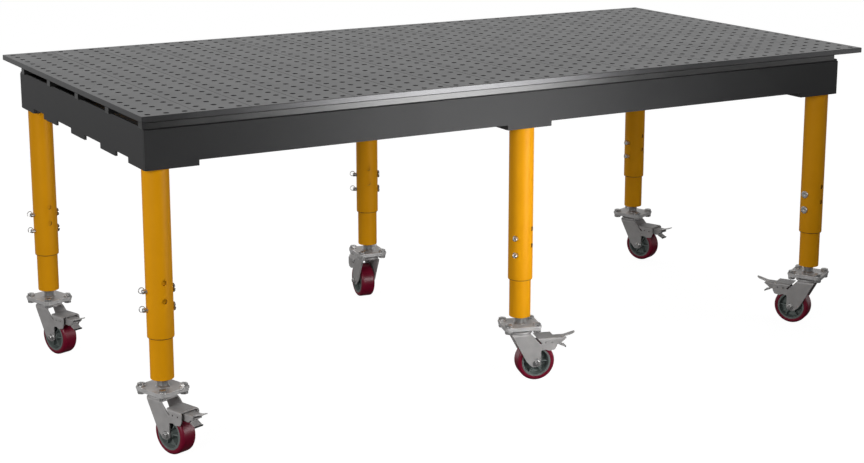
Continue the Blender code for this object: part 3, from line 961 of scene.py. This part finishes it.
def tread_mesh():
    """A band of polyurethane with rounded shoulders, turned about Y."""
    half, rim, shoulder, chamfer = HALF_WHEEL, 1.74 * IN, 0.3 * IN, 0.02 * IN
    profile = [(rim, -half + chamfer), (rim, half - chamfer), (rim + 2 * chamfer, half)]
    for k in range(7):
        along, out = on_circle((half - shoulder, WHEEL - shoulder), shoulder, math.radians(15 * k))
        profile.append((out, along))
    mirrored = [(r, -y) for r, y in reversed(profile[2:])]
    bm = bmesh.new()
    lathe(bm, profile + mirrored, WHEEL_SIDES, "Y")
    return mesh_of("tread", bm, TREAD)


def hub_mesh():
    """A cast hub: rim, web and boss, turned about Y."""
    half = HALF_WHEEL
    out, rim, web, boss = 1.76 * IN, 1.5 * IN, 0.14 * IN, 0.53 * IN
    side = [(out, half - 0.03 * IN), (out - 0.03 * IN, half), (rim + 0.04 * IN, half)]
    side += [(rim, half - 0.05 * IN), (rim - 0.08 * IN, web + 0.1 * IN), (rim - 0.18 * IN, web)]
    side += [(0.7 * IN, web), (0.62 * IN, web + 0.08 * IN), (boss + 0.03 * IN, half - 0.03 * IN)]
    side += [(boss, half), (0.27 * IN, half)]
    bm = bmesh.new()
    lathe(bm, side + [(r, -y) for r, y in reversed(side)], WHEEL_SIDES, "Y")
    return mesh_of("hub", bm, HUB)


def spokes_mesh():
    """Six tapered ribs from the boss to the rim, on both sides of the web."""
    bm = bmesh.new()
    outline = inches([(0.5, -0.8), (1.46, -0.62), (1.46, 0.62), (0.5, 0.8)])
    for k in range(6):
        start = len(bm.verts)
        prism(bm, outline, -0.09 * IN, 0.09 * IN, "Z")
        bm.verts.ensure_lookup_table()
        turn = Matrix.Rotation(math.radians(60 * k), 3, "Y")
        bmesh.ops.rotate(bm, verts=bm.verts[start:], cent=(0, 0, 0), matrix=turn)
    return mesh_of("spokes", bm, HUB, 0.04 * IN)


# ---------------------------------------------------------------- leg by leg


def build_pins(where, post, heading, pin, ring):
    """Both clevis pins of a leg, each with its split ring."""
    turn = Matrix.Rotation(math.radians(heading - 90), 4, "Z")
    for label, height in zip(("upper", "lower"), PIN_HEIGHTS):
        place = post @ Matrix.Translation((0, 0, height)) @ turn
        put(f"{where}_{label}_clevis_pin", pin, "table", place, (f"{where}_{label}_pin",))
        tip = place @ Matrix.Translation((0, -RING_SPOT, 0))
        put(f"{where}_{label}_split_ring", ring, "table", tip)


def put_pieces(where, pieces, body, place, node=None):
    """Shows a leg's pieces on one of its bodies. The first piece replaces the CAD node that is named."""
    for index, (label, mesh) in enumerate(pieces):
        instead_of = (f"{where}_{node}",) if node and index == 0 else ()
        put(f"{where}_{label}", mesh, f"{where}_{body}", place, instead_of)


def build_legs():
    """Six legs and their casters, which share their meshes, apart from the tubes and flanges."""
    pin, ring = pin_mesh(), ring_mesh()
    foot, caster, pedal = foot_pieces(), caster_pieces(), pedal_pieces()
    tread, hub, spokes = tread_mesh(), hub_mesh(), spokes_mesh()
    for where, heading in zip(LEGS, PIN_HEADINGS):
        spot, across = JOINTS[f"{where}_swivel"]["pos_m"], JOINTS[f"{where}_roll"]["axis"]
        post = Matrix.Translation((spot[0], spot[1], 0))
        turned = post @ Matrix.Rotation(math.atan2(-across[0], across[1]), 4, "Z")
        upper_leg = outer_tube_mesh(heading)
        put(f"{where}_upper_leg", upper_leg, "table", post, (f"{where}_outer_tube",))
        build_flange(where, post)
        build_pins(where, post, heading, pin, ring)
        lower_leg = [("lower_leg", inner_tube_mesh(heading))]
        put_pieces(where, lower_leg, "extension", post, "inner_tube")
        put_pieces(where, foot, "extension", turned)
        put_pieces(where, caster, "caster", turned, "caster_fork")
        put_pieces(where, pedal, "pedal", turned, "brake_pedal")
        axle = turned @ Matrix.Translation((TRAIL, 0, WHEEL))
        put_pieces(where, [("tread", tread)], "wheel_body", axle, "wheel")
        put_pieces(where, [("hub", hub), ("spokes", spokes)], "wheel_body", axle)


# ---------------------------------------------------------------- stage


FLOOR_REACH = 60
WALL_HEIGHT = 60
# How much of the light on them the floor and the backdrop give back, and how much they glow.
FLOOR_WHITE = (0.14, 0.96)
BACKDROP_WHITE = (0.0, 1.0)
# The studio's brightness at heights from straight down, 0, to straight up, 1.
SKY = ((0.0, 0.05), (0.38, 0.05), (0.47, 0.95), (0.53, 0.9), (0.62, 0.7), (0.75, 0.45), (1.0, 0.35))
FRONT_SKY = 0.18
# Each light's name, place, target, size and power.
LIGHTS = (
    ("key", (0.3, 1.0, 5.0), (0, 0, 0.9), 3, 40),
    ("side", (-4.0, -2.2, 1.6), (-1.2, -0.4, 0.6), 1.5, 68),
    ("fill", (-3.0, -4.5, 3.0), (0.2, -0.5, 0.4), 3.5, 18),
    ("right", (3.0, -2.4, 1.2), (1.1, -0.4, 0.4), 1.4, 12),
    ("front", (LEFT + 1.6, FRONT - 1.2, 0.55), (LEFT + 1.0, FRONT, 0.7), 0.7, 7.5),
)
FRONT_LIGHT_SPREAD = math.radians(110)
CAMERA_PLACE = (LEFT - 1.5166, FRONT - 4.1233, TOP + 0.8107)
CAMERA_DOWN = math.radians(12.447)
CAMERA_RIGHT = math.radians(29.829)
SENSOR = 36
LENS = 72.506
LENS_SHIFT = -0.0675


def area_light(name, location, target, size, energy):
    data = bpy.data.lights.new(name, "AREA")
    data.shape = "RECTANGLE"
    data.size = data.size_y = size
    data.energy = energy
    light = bpy.data.objects.new(name, data)
    bpy.context.scene.collection.objects.link(light)
    light.location = location
    light.rotation_euler = (Vector(target) - Vector(location)).to_track_quat("-Z", "Y").to_euler()
    light.visible_camera = False
    return light


def build_lights():
    lights = {light[0]: area_light(*light) for light in LIGHTS}
    lights["front"].data.spread = FRONT_LIGHT_SPREAD
    bpy.context.scene.view_settings.view_transform = "Standard"


def white(name, base, glow):
    """A matt white that is mostly its own light."""
    made = bpy.data.materials.new(name)
    made.use_nodes = True
    shader = made.node_tree.nodes["Principled BSDF"]
    shader.inputs["Base Color"].default_value = (base, base, base, 1)
    shader.inputs["Roughness"].default_value = 1.0
    shader.inputs["Specular IOR Level"].default_value = 0.0
    shader.inputs["Emission Color"].default_value = (1, 1, 1, 1)
    shader.inputs["Emission Strength"].default_value = glow
    return made


def build_floor():
    """A white floor and backdrop that only the camera sees, so that neither lights the table."""
    corners = rectangle((-FLOOR_REACH, -FLOOR_REACH), (FLOOR_REACH, FLOOR_REACH))
    bm = bmesh.new()
    bm.faces.new([bm.verts.new((x, y, 0)) for x, y in corners])
    floor = plain_object("floor", bm)
    bm = bmesh.new()
    for (x1, y1), (x2, y2) in zip([corners[-1], *corners], corners):
        wall = [(x1, y1, -1), (x2, y2, -1), (x2, y2, WALL_HEIGHT), (x1, y1, WALL_HEIGHT)]
        bm.faces.new([bm.verts.new(point) for point in wall])
    backdrop = plain_object("backdrop", bm)
    for obj, (base, glow) in ((floor, FLOOR_WHITE), (backdrop, BACKDROP_WHITE)):
        obj.data.materials.append(white(f"{obj.name}_white", base, glow))
        obj.visible_diffuse = False
        obj.visible_glossy = False
    backdrop.visible_shadow = False


def build_world():
    """A studio that is white at the horizon, softer above, dark below, and dimmer in front than behind."""
    world = bpy.data.worlds.new("studio")
    bpy.context.scene.world = world
    world.use_nodes = True
    nodes, links = world.node_tree.nodes, world.node_tree.links
    place = nodes.new("ShaderNodeTexCoord")
    split = nodes.new("ShaderNodeSeparateXYZ")
    links.new(place.outputs["Generated"], split.inputs["Vector"])
    height = nodes.new("ShaderNodeMapRange")
    height.inputs["From Min"].default_value = -1
    height.inputs["From Max"].default_value = 1
    links.new(split.outputs["Z"], height.inputs["Value"])
    ramp = nodes.new("ShaderNodeValToRGB")
    links.new(height.outputs["Result"], ramp.inputs["Fac"])
    stops = ramp.color_ramp.elements
    while len(stops) < len(SKY):
        stops.new(0.5)
    for stop, (position, value) in zip(stops, SKY):
        stop.position, stop.color = position, (value, value, value, 1)
    depth = nodes.new("ShaderNodeMapRange")
    depth.interpolation_type = "SMOOTHSTEP"
    depth.inputs["From Min"].default_value = -0.5
    depth.inputs["From Max"].default_value = 0.5
    depth.inputs["To Min"].default_value = FRONT_SKY
    depth.inputs["To Max"].default_value = 1.0
    links.new(split.outputs["Y"], depth.inputs["Value"])
    links.new(ramp.outputs["Color"], nodes["Background"].inputs["Color"])
    links.new(depth.outputs["Result"], nodes["Background"].inputs["Strength"])


def build_camera():
    data = bpy.data.cameras.new("camera")
    data.sensor_width = SENSOR
    data.lens = LENS
    data.shift_y = LENS_SHIFT
    camera = bpy.data.objects.new("camera", data)
    bpy.context.scene.collection.objects.link(camera)
    camera.location = CAMERA_PLACE
    camera.rotation_euler = (math.radians(90) - CAMERA_DOWN, 0, -CAMERA_RIGHT)
    bpy.context.scene.camera = camera


build_top()
build_aprons()
build_cross_plates()
build_legs()
build_floor()
build_world()
build_lights()
build_camera()
